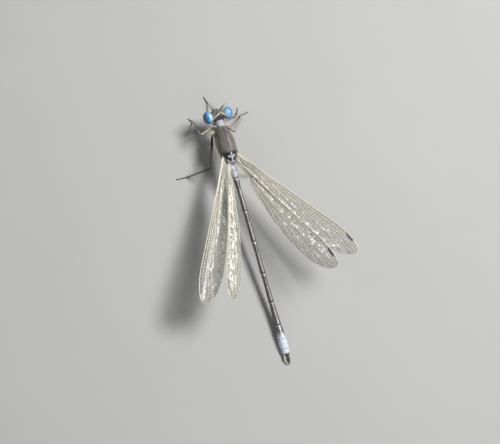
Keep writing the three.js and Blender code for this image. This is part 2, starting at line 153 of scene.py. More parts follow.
# Shares of a wing's length, but for the stalk's half width and the eases, which bend the curves
WING = {
    "stalk": 0.34,
    "stalk_end": 0.11,
    "widest": 0.7,
    "bow": 0.85,
    "bow_ease": 1.3,
    "open_ease": 0.42,
    "tip_ease": 2.3,
    "stigma": (0.874, 0.934),
    "end": 0.9985,
}
# Left and right: degrees back from square to the body, rise of the lean, twist of the front edge down.
# Painted glints: share of the chord and width of each band of panes painted white as glints.
WINGS = {
    "forewing": {
        "length": 23.7,
        "chord": 4.0,
        "lead": 0.34,
        "root": (0.9, 2.3, 0.6),
        "left": (33.2, 31, 13),
        "right": (37.2, 36, 14),
        "glitter": ((0.78, 0.14), (0.45, 0.05)),
    },
    "hindwing": {
        "length": 22.4,
        "chord": 4.1,
        "lead": 0.27,
        "root": (0.55, 3.5, 1.25),
        "left": (31.4, 47, 1),
        "right": (33, 50, 3),
        "glitter": ((0.2, 0.13), (0.42, 0.09), (0.62, 0.05)),
    },
}
FILM = 0.006  # half the thickness of the membrane
LONG_VEINS = {
    # share of the wing's length, share of its chord from the front edge
    "subcosta": ((0.0, 0.14), (0.12, 0.1), (0.37, 0.0)),
    "radius": ((0.0, 0.3), (0.12, 0.22), (0.37, 0.12), (0.7, 0.11), (0.87, 0.13), (0.94, 0.14), (0.985, 0.0)),
    "first_branch": ((0.2, 0.36), (0.37, 0.24), (0.7, 0.22), (0.9, 0.3), (0.985, 0.45)),
    "first_between": ((0.6, 0.3), (0.75, 0.33), (0.9, 0.47), (0.97, 0.62)),
    "second_branch": ((0.42, 0.27), (0.6, 0.36), (0.8, 0.5), (0.93, 0.75), (0.96, 1.0)),
    "second_between": ((0.3, 0.34), (0.5, 0.42), (0.7, 0.58), (0.86, 0.85), (0.9, 1.0)),
    "third_branch": ((0.16, 0.4), (0.37, 0.42), (0.55, 0.55), (0.72, 0.78), (0.8, 1.0)),
    "middle": ((0.16, 0.5), (0.3, 0.52), (0.45, 0.62), (0.6, 0.8), (0.69, 1.0)),
    "lower_middle": ((0.0, 0.62), (0.15, 0.66), (0.3, 0.7), (0.42, 0.8), (0.54, 1.0)),
    "rear": ((0.12, 0.9), (0.2, 0.85), (0.3, 0.9), (0.38, 1.0)),
}
VEIN_POINTS = 60
VEIN_SWELL = {"radius": 1.5, "subcosta": 1.2}
CELL_LENGTH = 0.5
CELL_WIDTH = 0.52
CELLS_LAST = 0.985  # share of the wing's length where the last cells may start, and where all end
CELLS_END = 0.99
PANES_ALONG = 46.0  # panes painted as glints along a wing, and across it
PANES_ACROSS = 9.0

# Root inside the body, trochanter and knee, then ankle and toe seen from above, in the floor's own frame
LEGS = {
    "fore_left": ((0.3, -3.1, 4.7), (0.5, -3.4, 3.75), (-1.0, -4.75, 2.6), (-0.68, -7.3), (-0.44, -8.54)),
    "mid_left": ((0.5, -2.2, 4.4), (1.0, -2.75, 3.8), (3.24, -2.05, 4.7), (2.5, -5.2), (3.01, -5.81)),
    "hind_left": ((0.6, -1.5, 4.0), (1.15, -1.75, 3.2), (3.19, 3.2, 4.2), (5.97, 2.84), (7.69, 2.75)),
    "fore_right": ((-0.3, -3.1, 4.7), (-0.65, -3.4, 3.8), (-2.0, -4.05, 3.2), (-4.41, -4.34), (-5.0, -5.45)),
    "mid_right": ((-0.5, -2.2, 4.4), (-1.1, -2.7, 3.9), (-1.93, -1.23, 4.7), (-5.25, -4.25), (-6.35, -4.46)),
    "hind_right": ((-0.6, -1.5, 4.0), (-1.2, -1.7, 3.2), (-2.0, 3.75, 3.7), (-5.3, 6.0), (-6.5, 7.2)),
}
ANKLE_HEIGHT = 0.3
FOOT_JOINTS = ((0.28, 0.16), (0.55, 0.1))  # share of the foot's length, height
TOE_HEIGHT = 0.075
LIMB_STEPS = 18
BRISTLE_GAP = 0.26
BRISTLE_WIDTH = 0.017
BRISTLE_BEND = 0.15  # share of its length
HAIR_WIDTH = 0.012

VIEW_ROLL = math.radians(16.3)  # how far the camera stands to the insect's left of its back
TAIL_TURN = math.radians(16.0)  # how far the tail points right of straight down in the picture
VIEW_TARGET = (-0.3, 12.65, 0.0)
VIEW_DISTANCE = 300.0
VIEW_WIDTH = 75.5  # width of the picture at the target
SENSOR = 36.0
LAMPS = {
    # way to the lamp as shares of the picture's right, up and towards the camera, then reach, size and power
    "key": ((0.75, 0.55, 0.95), 0.3, 0.09, 1.3),
    "fill": ((-0.9, 0.2, 0.9), 0.35, 0.3, 0.12),
    "rim": ((0.3, -0.9, 0.8), 0.35, 0.2, 0.14),
}
SKY = (0.9, 0.92, 0.95)
SKY_STRENGTH = 0.22
FLOOR_HALF = 0.4  # metres


# The insect's frame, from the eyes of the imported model


def box_middle(node):
    low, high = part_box(node)
    return (Vector(low) + Vector(high)) / 2


def body_matrix():
    """Takes points of the body frame in millimetres to the floor's frame in metres."""
    between_eyes = (box_middle("eye_left") + box_middle("eye_right")) / 2
    turn = Matrix.Rotation(-PITCH, 4, "X") @ Matrix.Scale(MM, 4)
    eyes = turn @ Vector((0, EYE_CENTRE[1], EYE_CENTRE[2]))
    return Matrix.Translation(between_eyes - eyes) @ turn


BODY = body_matrix()
# The legs' frame stands level on the floor under the thorax
FLOOR = Matrix.Translation((BODY.translation.x, BODY.translation.y, 0)) @ Matrix.Scale(MM, 4)


# Mesh helpers


def place(matrix, points):
    """Points, as rows, moved by a matrix."""
    rows = np.asarray(points, float)
    m = np.array(matrix)
    return rows @ m[:3, :3].T + m[:3, 3]


def smooth_step(value, low, high):
    share = np.clip((np.asarray(value, float) - low) / (high - low), 0, 1)
    return share * share * (3 - 2 * share)


def within(value, low, high, end, past):
    """Rises smoothly from low to high and falls again from end to past."""
    return smooth_step(value, low, high) * (1 - smooth_step(value, end, past))


def near(value, middle, width):
    """One at the middle, falling to nothing smoothly over about the width."""
    return np.exp(-(((np.asarray(value, float) - middle) / width) ** 2))


def strongest(*masks):
    return np.maximum.reduce(masks)


def between(start, end, share):
    return start + (end - start) * share


class Shape:
    """Vertices, faces, one material index a face and named values a vertex, grown piece by piece."""

    def __init__(self):
        self.points = []
        self.faces = []
        self.slots = []
        self.values = {}

    def add(self, points, faces, slot=0, **values):
        start = len(self.points)
        self.points.extend(map(tuple, points))
        self.faces.extend(tuple(start + i for i in face) for face in faces)
        self.slots.extend([slot] * len(faces))
        for name in {**self.values, **values}:
            column = self.values.setdefault(name, [0.0] * start)
            given = values.get(name, 0.0)
            column.extend([given] * len(points) if np.isscalar(given) else list(given))

    def build(self, name, materials, matrix):
        mesh = bpy.data.meshes.new(name)
        mesh.from_pydata(place(matrix, self.points).tolist(), [], self.faces)
        for material in materials:
            mesh.materials.append(material)
        mesh.polygons.foreach_set("material_index", self.slots)
        mesh.polygons.foreach_set("use_smooth", [True] * len(self.faces))
        for key, column in self.values.items():
            mesh.attributes.new(key, "FLOAT", "POINT").data.foreach_set("value", column)
        mesh.update()
        piece = bpy.data.objects.new(name, mesh)
        bpy.context.collection.objects.link(piece)
        return piece


def finish_piece(piece, slot, *nodes):
    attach(piece, "root")
    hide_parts(*nodes)


def ring_faces(rings, sides):
    """Faces between rings of points, with one more over each end."""
    faces = []
    for i in range(rings - 1):
        for j in range(sides):
            k = (j + 1) % sides
            faces.append((i * sides + j, i * sides + k, (i + 1) * sides + k, (i + 1) * sides + j))
    faces.append(tuple(range(sides - 1, -1, -1)))
    faces.append(tuple((rings - 1) * sides + j for j in range(sides)))
    return faces


def sheet_faces(rows, columns):
    """Faces of the upper and then the lower side of a sheet, whose points are listed row by row."""
    faces = []
    count = rows * columns
    for i in range(rows - 1):
        for j in range(columns - 1):
            a = i * columns + j
            faces.append((a, a + columns, a + columns + 1, a + 1))
            faces.append((count + a, count + a + 1, count + a + columns + 1, count + a + columns))
    return faces


def grid(rows, columns):
    return (side.ravel() for side in np.meshgrid(rows, columns, indexing="ij"))


def eased(stations, count):
    """Rows eased by a smooth curve through the given ones, evenly spread by their first column."""
    rows = np.array(stations, float)
    at = np.linspace(rows[0, 0], rows[-1, 0], count)
    slope = np.gradient(rows[:, 1:], rows[:, 0], axis=0)
    i = np.clip(np.searchsorted(rows[:, 0], at, "right") - 1, 0, len(rows) - 2)
    span = (rows[i + 1, 0] - rows[i, 0])[:, None]
    u = ((at - rows[i, 0]) / span[:, 0])[:, None]
    curve = (
        rows[i, 1:] * (2 * u**3 - 3 * u**2 + 1)
        + slope[i] * span * (u**3 - 2 * u**2 + u)
        + rows[i + 1, 1:] * (3 * u**2 - 2 * u**3)
        + slope[i + 1] * span * (u**3 - u**2)
    )
    return np.column_stack([at, curve])


def tube(shape, path, radii, sides=8, slot=0, facing=(0, 0, 1), **values):
    """A closed tube along a path.

    Its values share and outer tell how far along it a point lies and how squarely it faces the given way.
    """
    path = np.asarray(path, float)
    radii = np.broadcast_to(np.asarray(radii, float), len(path))
    along = np.gradient(path, axis=0)
    along /= np.maximum(np.linalg.norm(along, axis=1), 1e-9)[:, None]
    side = np.array([0.0, 0.0, 1.0]) if abs(along[0, 2]) < 0.9 else np.array([0.0, 1.0, 0.0])
    angles = np.linspace(0, 2 * math.pi, sides, endpoint=False)
    points = []
    outer = []
    for centre, direction, radius in zip(path, along, radii):
        side = side - direction * side.dot(direction)
        side /= np.linalg.norm(side)
        other = np.cross(direction, side)
        ring = np.outer(np.cos(angles), side) + np.outer(np.sin(angles), other)
        points.extend(centre + radius * ring)
        outer.extend(ring @ np.asarray(facing, float))
    length = np.concatenate([[0], np.cumsum(np.linalg.norm(np.diff(path, axis=0), axis=1))])
    share = np.repeat(length / max(length[-1], 1e-9), sides)
    shape.add(points, ring_faces(len(path), sides), slot, share=share, outer=outer, **values)


def egg(shape, centre, reach, around, down, turn=0.0, **values):
    """Adds a smooth egg, turned about the upright, and gives back the way that each of its points faces."""
    unit = [(0.0, 0.0, -1.0)]
    for i in range(1, down):
        tilt = math.pi * i / down
        for j in range(around):
            angle = 2 * math.pi * j / around
            unit.append((math.sin(tilt) * math.cos(angle), math.sin(tilt) * math.sin(angle), -math.cos(tilt)))
    unit.append((0.0, 0.0, 1.0))
    last = len(unit) - 1
    faces = []
    for j in range(around):
        k = (j + 1) % around
        faces.append((0, 1 + k, 1 + j))
        for i in range(down - 2):
            a = 1 + i * around
            faces.append((a + j, a + k, a + around + k, a + around + j))
        faces.append((last, last - around + j, last - around + k))
    unit = np.array(unit)
    rotation = np.array(Matrix.Rotation(turn, 3, "Z"))
    shape.add((unit * np.array(reach)) @ rotation.T + np.array(centre), faces, **values)
    facing = unit / np.array(reach)
    facing /= np.linalg.norm(facing, axis=1)[:, None]
    return facing @ rotation.T


def bristle(shape, root, direction, length, width, slot=0):
    """A thin tapering hair with a slight bend, standing on its root."""
    direction = np.asarray(direction, float)
    direction /= np.linalg.norm(direction)
    sideways = np.cross(direction, (0.3, 0.5, 0.8))
    sideways /= np.linalg.norm(sideways)
    steps = (-0.05, 0.5, 1.0)
    path = [root + direction * length * u + sideways * BRISTLE_BEND * length * u * u for u in steps]
    tube(shape, path, [width, width * 0.7, width * 0.12], sides=3, slot=slot)


# Node materials


def times(colour, factor, plus=0.0):
    return tuple(factor * value + plus for value in colour)


def blended(first, first_share, second, second_share):
    return tuple(first_share * a + second_share * b for a, b in zip(first, second))


class Finish:
    """Grows one material from nodes."""

    def __init__(self, name, **values):
        self.material = bpy.data.materials.new(name)
        self.material.use_nodes = True
        self.tree = self.material.node_tree
        self.shader = self.tree.nodes["Principled BSDF"]
        self.coords = self.node("ShaderNodeTexCoord").outputs["Object"]
        for key, value in values.items():
            self.shader.inputs[key.replace("_", " ")].default_value = value

    def node(self, kind, **settings):
        made = self.tree.nodes.new(kind)
        for key, value in settings.items():
            setattr(made, key, value)
        return made

    def feed(self, socket, value):
        if isinstance(value, bpy.types.NodeSocket):
            self.tree.links.new(value, socket)
        else:
            socket.default_value = value

    def attribute(self, name):
        return self.node("ShaderNodeAttribute", attribute_name=name).outputs["Fac"]

    def noise(self, size, detail=4.0, roughness=0.55):
        """Cloudy noise with patches of about the given size in millimetres."""
        made = self.node("ShaderNodeTexNoise")
        self.feed(made.inputs["Vector"], self.coords)
        made.inputs["Scale"].default_value = 1 / (size * MM)
        made.inputs["Detail"].default_value = detail
        made.inputs["Roughness"].default_value = roughness
        return made.outputs["Fac"]

    def cells(self, size):
        """Distance from the middle of small cells of the given size in millimetres."""
        made = self.node("ShaderNodeTexVoronoi")
        self.feed(made.inputs["Vector"], self.coords)
        made.inputs["Scale"].default_value = 1 / (size * MM)
        return made.outputs["Distance"]

    def scaled(self, value, by, plus=0.0):
        """The value times one number plus another, each of which may be a socket."""
        made = self.node("ShaderNodeMath", operation="MULTIPLY_ADD")
        for socket, given in zip(made.inputs, (value, by, plus)):
            self.feed(socket, given)
        return made.outputs[0]

    def ramp(self, value, *stops):
        """A colour or grey by value; each stop is a place and a colour or a single number."""
        made = self.node("ShaderNodeValToRGB")
        points = made.color_ramp.elements
        while len(points) < len(stops):
            points.new(1.0)
        for point, (at, colour) in zip(points, stops):
            point.position = at
            shade = (colour, colour, colour) if np.isscalar(colour) else tuple(colour)
            point.color = (*shade, 1.0)
        self.feed(made.inputs["Fac"], value)
        return made.outputs["Color"]

    def mix(self, share, first, second, blend="MIX"):
        made = self.node("ShaderNodeMix", data_type="RGBA", blend_type=blend)
        colours = [socket for socket in made.inputs if socket.type == "RGBA"]
        self.feed(made.inputs["Factor"], share)
        for socket, value in zip(colours, (first, second)):
            self.feed(socket, value if isinstance(value, bpy.types.NodeSocket) else (*value, 1.0))
        return next(socket for socket in made.outputs if socket.type == "RGBA")

    def frayed(self, name, noise, low=0.35, high=0.65, amount=0.5):
        """A named mask whose edge is broken up by noise."""
        moved = self.scaled(noise, amount, -amount / 2)
        return self.ramp(self.scaled(self.attribute(name), 1.0, moved), (low, 0.0), (high, 1.0))

    def colour(self, value):
        self.feed(self.shader.inputs["Base Color"], value)

    def roughness(self, value, by, plus):
        self.feed(self.shader.inputs["Roughness"], self.scaled(value, by, plus))

    def bump(self, height, distance, strength):
        """Relief of the given depth in millimetres over what is there."""
        made = self.node("ShaderNodeBump")
        made.inputs["Strength"].default_value = strength
        made.inputs["Distance"].default_value = distance * MM
        self.feed(made.inputs["Height"], height)
        if self.shader.inputs["Normal"].links:
            self.feed(made.inputs["Normal"], self.shader.inputs["Normal"].links[0].from_socket)
        self.feed(self.shader.inputs["Normal"], made.outputs["Normal"])

    def horn(self, colour, grain, smoothest):
        """Clouds the colour and gives a soft gloss and fine relief, all from one grain."""
        self.colour(self.mix(0.7, colour, self.ramp(grain, (0.3, 0.6), (0.7, 1.3)), "MULTIPLY"))
        self.roughness(grain, 0.3, smoothest)
        self.bump(grain, 0.012, 0.6)
        return self.material


# What a user can change


def colour_property(name, description, default):
    return bpy.props.FloatVectorProperty(
        name=name, description=description, default=default, subtype="COLOR", size=3, min=0, max=1
    )


def length_property(name, description, millimetres):
    return bpy.props.FloatProperty(
        name=name, description=description, default=millimetres * MM, unit="LENGTH"
    )


class DamselflyColours(bpy.types.PropertyGroup):
    """Colours of the insect."""

    back: colour_property("Back", "Taupe of the thorax and the top of the head", (0.1, 0.098, 0.087))
    stripe: colour_property("Back stripe", "Pinkish brown beside the middle line", (0.165, 0.112, 0.105))
    line: colour_property("Dark line", "Seams and the middle line of the back", (0.02, 0.016, 0.022))
    flank: colour_property("Flank", "Grey green of the sides", (0.075, 0.075, 0.058))
    belly: colour_property("Belly", "Pale yellow of the underside and the rims", (0.62, 0.56, 0.32))
    # This colour also paints the glints on the plates between the wing roots
    bloom: colour_property("Bloom", "Waxy blue white of the tail tip", (0.72, 0.76, 0.86))
    tail: colour_property("Tail", "Dark bronze of the abdomen", (0.155, 0.148, 0.138))
    # The eye's navy and pale cyan are painted shade and painted highlight round its own sky blue; the navy
    # also colours the dark spot
    eye_dark: colour_property("Eye, outside", "Navy at the outer side of the eye", (0.004, 0.006, 0.016))
    eye_blue: colour_property("Eye, middle", "Sky blue of the eye", (0.07, 0.27, 0.62))
    eye_highlight: colour_property("Eye, inside", "Pale cyan towards the middle of the head", (0.42, 0.74, 0.9))
    vein: colour_property("Vein", "Cream of the wing veins", (0.76, 0.7, 0.52))
    membrane: colour_property("Membrane", "Olive tint of the clear wing", (0.17, 0.16, 0.1))
    stigma: colour_property("Wing mark", "Dark mark near the wing tip", (0.07, 0.055, 0.08))
    leg_pale: colour_property("Leg, outside", "Tan of the outer faces of the legs", (0.42, 0.33, 0.21))
    leg_dark: colour_property("Leg, inside", "Black of the inner faces of the legs", (0.02, 0.017, 0.015))
    pincer: colour_property("Pincer", "Cream of the pincers", (0.52, 0.48, 0.36))
    floor: colour_property("Floor", "Plain floor of the stage", (0.36, 0.357, 0.345))


class DamselflySizes(bpy.types.PropertyGroup):
    """Sizes of the fine forms."""

    vein: length_property("Fine vein", "Half width of a fine wing vein", 0.024)
    main_vein: length_property("Main vein", "Half width of a main wing vein", 0.032)
    edge_vein: length_property("Edge vein", "Half width of the wing's front edge", 0.055)
    bristle: length_property("Leg bristle", "Length of the long bristles of the legs", 0.62)
    hair: length_property("Hair", "Length of the fine hair of the thorax", 0.28)
    hairs: bpy.props.IntProperty(
        name="Hairs", description="How many hairs the thorax carries", default=420, min=0, subtype="UNSIGNED"
    )


# Trunk and head


def abdomen_profile():
    """Places along the abdomen with its half width, with a groove at each joint."""
    places = []
    for i, (front, waist, rear) in enumerate(ABDOMEN_RADII):
        start, end = ABDOMEN_JOINTS[i], ABDOMEN_JOINTS[i + 1]
        span = end - start
        swell = min(0.25, span * 0.12)
        places += [
            (start, front * 0.85),
            (start + 0.07, front * 0.93),
            (start + 0.07 + swell, front),
            (start + span * 0.35, waist),
            (start + span * 0.7, waist + (rear - waist) * 0.45),
            (end - swell, rear),
            (end - 0.05, rear * 0.98),
        ]
    places.append((ABDOMEN_JOINTS[-1], TAIL_WIDTH))
    return np.array(places)


def trunk_rows():
    """Rows of the trunk: place, half width, height above, depth below, rise of the axis, lean of the ring."""
    at, wide, above, below = eased(THORAX_STATIONS, 150).T
    rise = ABDOMEN_RISE * smooth_step(at, 2.9, 3.75)
    slant = THORAX_SLANT * within(at, -3.0, -1.9, 2.6, 3.72)
    rows = [np.column_stack([at, wide, above - rise, below + rise, rise, slant])]
    profile = abdomen_profile()
    end = ABDOMEN_JOINTS[-1]
    places = np.arange(3.82, end, 0.07)
    radius = np.interp(places, profile[:, 0], profile[:, 1])
    cap_places, cap_shares = np.array(TAIL_CAP).T
    places = np.concatenate([places, end + cap_places])
    radius = np.concatenate([radius, TAIL_WIDTH * cap_shares])
    level = np.full_like(places, ABDOMEN_RISE)
    rows.append(np.column_stack([places, radius, radius, radius, level, places * 0]))
    return np.vstack(rows)


def seam(s, up, name, width):
    """One on a seam of the chest's sides, falling to nothing beside it."""
    start, lean = SEAMS[name]
    return near(s - start - lean * up, 0, width)


def plate_glint_masks(s, off):
    return [near(np.hypot(s - along, off - across), 0, size) for along, across, size in WING_PLATE_GLINTS]


def trunk_masks(s, x, up):
    """Where each colour of the trunk lies, by place along the body, place across and height of the ring."""
    off = np.abs(x)
    chest = within(s, -2.5, -2.3, 3.2, 3.6)
    neck = 1 - smooth_step(s, -3.6, -3.45)
    shield = (1 - smooth_step(s, -2.6, -2.42)) * (1 - neck)
    hinges = within(s, 1.2, 1.6, 3.2, 3.5) * smooth_step(up, 0.35, 0.6)
    middle = hinges * near(off, 0, 0.12)
    # Plates between the wing roots, painted pale as glints
    plate_glints = strongest(*plate_glint_masks(s, off)) * (up > 0.2)
    abdomen = smooth_step(s, 3.55, 3.75)
    stripe = chest * near(off, 0.3, 0.17) * smooth_step(up, 0.5, 0.8) * (1 - smooth_step(s, 0.7, 1.2))
    side = smooth_step(up, -0.8, -0.3)
    line = strongest(
        chest * near(off, 0, 0.07) * smooth_step(up, 0.6, 0.9) * (1 - smooth_step(s, 0.6, 1.1)),
        chest * 0.7 * seam(s, up, "middle", 0.1) * side,
        chest * 0.6 * seam(s, up, "rear", 0.09) * side,
        chest * 0.55 * near(off, 0.62, 0.07) * smooth_step(up, 0.5, 0.7) * (s < 1.2),
        hinges * smooth_step(off, 0.14, 0.22),
        neck * 0.45 * smooth_step(off, 0.1, 0.25),
    )
    line = line * (1 - np.clip(plate_glints * 1.6, 0, 1)) * (1 - middle)
    grooves = [0.6 * smooth_step(s, 33.0, 33.3)]
    for joint in ABDOMEN_JOINTS[1:]:
        grooves.append(0.7 * near(s, joint, 0.05))
        grooves.append((0.45 if joint < 28 else 0.25) * near(s, joint - 0.2, 0.16))
    ring_strength = 0.35 + 0.5 * smooth_step(up, 0.0, 0.6)
    rings = [near(s, joint + 0.1, 0.06) * ring_strength for joint in ABDOMEN_JOINTS[2:8]]
    low_line = chest * near(up, 0.12, 0.07) * smooth_step(s, -1.6, -0.9) * 0.8
    tail_end = smooth_step(s, 28.9, 31.2) * (1 - 0.75 * smooth_step(s, 33.0, 33.35))
    front_lengths = abdomen * (1 - smooth_step(s, 5.0, 6.4)) * 0.7
    return {
        "stripe": np.maximum(stripe, neck),
        "line": strongest(line, *grooves),
        "flank": chest * within(up, -0.75, -0.4, 0.45, 0.7),
        "belly": np.maximum(chest * (1 - smooth_step(up, -0.75, -0.45)), low_line),
        # The bloom mask holds the waxy bloom and also the plates painted pale as glints
        "bloom": strongest(0.62 * shield, plate_glints, middle * 0.9, front_lengths, tail_end, *rings),
        "tail": abdomen * within(s, 5.3, 6.3, 30.2, 30.9),
    }


def add_trunk(shape):
    rows = trunk_rows()
    angles = np.linspace(0, 2 * math.pi, BODY_SIDES, endpoint=False)
    up = np.tile(np.sin(angles), len(rows))
    s, wide, above, below, rise, slant = np.repeat(rows, BODY_SIDES, axis=0).T
    x = -np.tile(np.cos(angles), len(rows)) * wide
    height = np.where(up > 0, above, below)
    # Relief: the ridge along the back, the seams of the sides and the plates between the wings
    relief = within(s, -2.45, -2.1, 0.6, 1.4) * 0.1 * near(x, 0, 0.06) * (up > 0)
    seams = seam(s, up, "middle", 0.09) + seam(s, up, "rear", 0.09) * (s < 3.4)
    relief -= 0.06 * seams * smooth_step(up, -0.9, -0.4)
    deck = within(s, 1.2, 1.5, 3.2, 3.5) * smooth_step(up, 0.35, 0.6)
    relief += deck * (0.2 * (near(x, 0, 0.12) + sum(plate_glint_masks(s, np.abs(x)))) - 0.16)
    factor = 1 + relief / np.maximum(np.hypot(x, up * height), 0.2)
    points = np.column_stack([x * factor, s + slant * up, rise + up * height * factor])
    floor_level = (points[:, 1] * math.sin(PITCH) - BODY.translation.z / MM) / math.cos(PITCH)
    points[:, 2] = np.maximum(points[:, 2], floor_level)
    shape.add(points, ring_faces(len(rows), BODY_SIDES), **trunk_masks(s, x, up))
    # The dark lower plates between the pincers
    egg(shape, (0, ABDOMEN_JOINTS[-1] + 0.35, ABDOMEN_RISE - 0.12), (0.3, 0.62, 0.16), 28, 18, line=0.85)


def one_skin(rough, hollow):
    """Points and faces of one closed skin round all the parts of a shape, less a hollow."""
    whole = rough.build("rough_head", [], Matrix())
    tool = hollow.build("hollow", [], Matrix())
    steps = (
        ("REMESH", {"mode": "VOXEL", "voxel_size": HEAD_GRAIN}),
        ("BOOLEAN", {"operation": "DIFFERENCE", "object": tool, "solver": "EXACT"}),
        ("REMESH", {"mode": "VOXEL", "voxel_size": HEAD_GRAIN}),
        ("SMOOTH", {"factor": 0.6, "iterations": 3}),
    )
    for kind, settings in steps:
        modifier = whole.modifiers.new(kind.lower(), kind)
        for key, value in settings.items():
            setattr(modifier, key, value)
    skinned = whole.evaluated_get(bpy.context.evaluated_depsgraph_get())
    mesh = skinned.to_mesh()
    points = np.empty(len(mesh.vertices) * 3)
    mesh.vertices.foreach_get("co", points)
    faces = [tuple(face.vertices) for face in mesh.polygons]
    skinned.to_mesh_clear()
    for scaffold in (whole, tool):
        data = scaffold.data
        bpy.data.objects.remove(scaffold)
        bpy.data.meshes.remove(data)
    return points.reshape(-1, 3), faces


def head_masks(x, y, z):
    """Where each colour of the head lies, from places across, behind and above its middle."""
    lip = near(np.hypot(x / 0.72, (y + 0.22) / 0.79), 1.0, 0.06) * near(z, -0.93, 0.1)
    brow = near(np.hypot(x / 0.66, (y + 0.46) / 0.6), 1.0, 0.07) * near(z, -0.54, 0.08)
    # How far each point lies ahead of the straight rear rims of the head, left and right of their corner
    left, corner, right = NAPE[:3]
    rims = [
        corner[1] - HEAD_PLACE + (end[1] - corner[1]) * (x - corner[0]) / (end[0] - corner[0])
        for end in (left, right)
    ]
    ahead = np.where(x > corner[0], *rims) - y
    top = smooth_step(z, 0.1, 0.35)
    # The steep rear faces behind the rims are darkened with the stripe and line colours as painted shade
    inner = (1 - smooth_step(ahead, -0.02, 0.03)) * (1 - smooth_step(np.abs(x), 1.25, 1.5))
    face = 0.7 * (1 - smooth_step(y, -0.6, -0.35))
    return {
        "stripe": np.clip(0.7 * inner + 0.3 * near(ahead, 0.35, 0.1) * top, 0, 1),
        "line": np.clip(0.9 * lip + 0.8 * brow + 0.6 * inner, 0, 1),
        "flank": face * (1 - smooth_step(z, 0, 0.4)),
        "belly": np.maximum(near(ahead, 0.08, 0.06) * top, face * (1 - smooth_step(z, -0.7, -0.5))),
        "bloom": 0.6 * near(ahead, 0.1, 0.12) * smooth_step(-x, 0.6, 0.9) * top,
    }


def add_head(shape):
    rough = Shape()
    for side in (0, *SIDES.values()):
        for (across, behind, above), reach, around, down in HEAD_PARTS:
            if bool(side) == bool(across):
                egg(rough, (side * across, HEAD_PLACE + behind, HEAD_RISE + above), reach, around, down)
    hollow = Shape()
    corners = [(px, py, HEAD_RISE + height) for height in NAPE_HEIGHTS for px, py in NAPE]
    hollow.add(corners, ring_faces(2, len(NAPE)))
    points, faces = one_skin(rough, hollow)
    x, y, z = points.T
    shape.add(points, faces, **head_masks(x, y - HEAD_PLACE, z - HEAD_RISE))


def add_hair(shape, count, length):
    """Short hairs over the thorax, standing out and leaning back."""
    rng = np.random.default_rng(SEED)
    rows = eased(THORAX_STATIONS, 200)
    for _ in range(count):
        s = rng.uniform(-2.1, 2.9)
        angle = rng.uniform(-0.35, 1.0) * math.pi
        up = math.sin(angle)
        across = math.cos(angle)
        wide, above, below = (np.interp(s, rows[:, 0], rows[:, i]) for i in (1, 2, 3))
        root = np.array([across * wide, s + THORAX_SLANT * up, up * (above if up > 0 else below)])
        lean = np.array([across, rng.uniform(0.1, 0.6), up]) + rng.normal(0, 0.15, 3)
        bristle(shape, root, lean, length * rng.uniform(0.5, 1.2), HAIR_WIDTH, slot=1)


def cuticle(colours):
    """Skin of the trunk and the head: taupe, bronze and bloom by place, with glints painted on the plates
    between the wing roots and shade painted behind the head, broken up by mottling.
    """
    finish = Finish("damselfly_cuticle", Specular_IOR_Level=0.5)
    clouds = finish.noise(0.45)
    grain = finish.noise(0.09, detail=6.0, roughness=0.65)
    specks = finish.noise(0.16, detail=3.0)
    colour = finish.mix(finish.ramp(clouds, (0.38, 0.0), (0.62, 1.0)), colours.back, times(colours.back, 1.9))
    speckled = finish.ramp(specks, (0.45, 0.0), (0.62, 1.0))
    flank = finish.mix(speckled, colours.flank, times(colours.flank, 2.2))
    places = {"stripe": colours.stripe, "flank": flank, "tail": colours.tail, "belly": colours.belly}
    for name, tint in places.items():
        colour = finish.mix(finish.frayed(name, specks), colour, tint)
    bloom = finish.frayed("bloom", specks, 0.25, 0.85, 0.7)
    # Wax colour, also painted on the wing-root plates as glints
    wax_and_glint = finish.mix(finish.ramp(specks, (0.4, 0.0), (0.6, 1.0)), colours.bloom, (0.38, 0.4, 0.5))
    colour = finish.mix(bloom, colour, wax_and_glint)
    colour = finish.mix(finish.frayed("line", grain, 0.3, 0.7, 0.3), colour, colours.line)
    mottling = finish.ramp(grain, (0.32, 0.4), (0.52, 1.0), (0.72, 1.6))
    finish.colour(finish.mix(0.85, colour, mottling, "MULTIPLY"))
    finish.roughness(bloom, 0.35, finish.scaled(grain, 0.25, 0.2))
    finish.feed(finish.shader.inputs["Metallic"], finish.scaled(finish.attribute("tail"), 0.7))
    finish.bump(grain, 0.03, 0.7)
    finish.bump(finish.cells(0.06), 0.012, 0.6)
    return finish.material


def hair_finish(colours):
    finish = Finish("damselfly_hair")
    finish.colour(finish.mix(finish.noise(0.3), colours.belly, colours.line))
    finish.roughness(finish.noise(0.1), 0.3, 0.3)
    return finish.material


class DAMSELFLY_OT_body_skin(bpy.types.Operator):
    """Skin of the head, thorax and abdomen in one piece"""

    bl_idname = "damselfly.body_skin"
    bl_label = "Body skin"

    def execute(self, context):
        colours = context.scene.damselfly_colours
        sizes = context.scene.damselfly_sizes
        shape = Shape()
        add_trunk(shape)
        add_head(shape)
        add_hair(shape, sizes.hairs, sizes.hair / MM)
        piece = shape.build("body_skin", [cuticle(colours), hair_finish(colours)], BODY)
        lengths = [f"abdomen_{i}" for i in range(1, len(ABDOMEN_JOINTS))]
        finish_piece(piece, "thorax", "head", "prothorax", "thorax", *lengths)
        return {"FINISHED"}


# Eyes


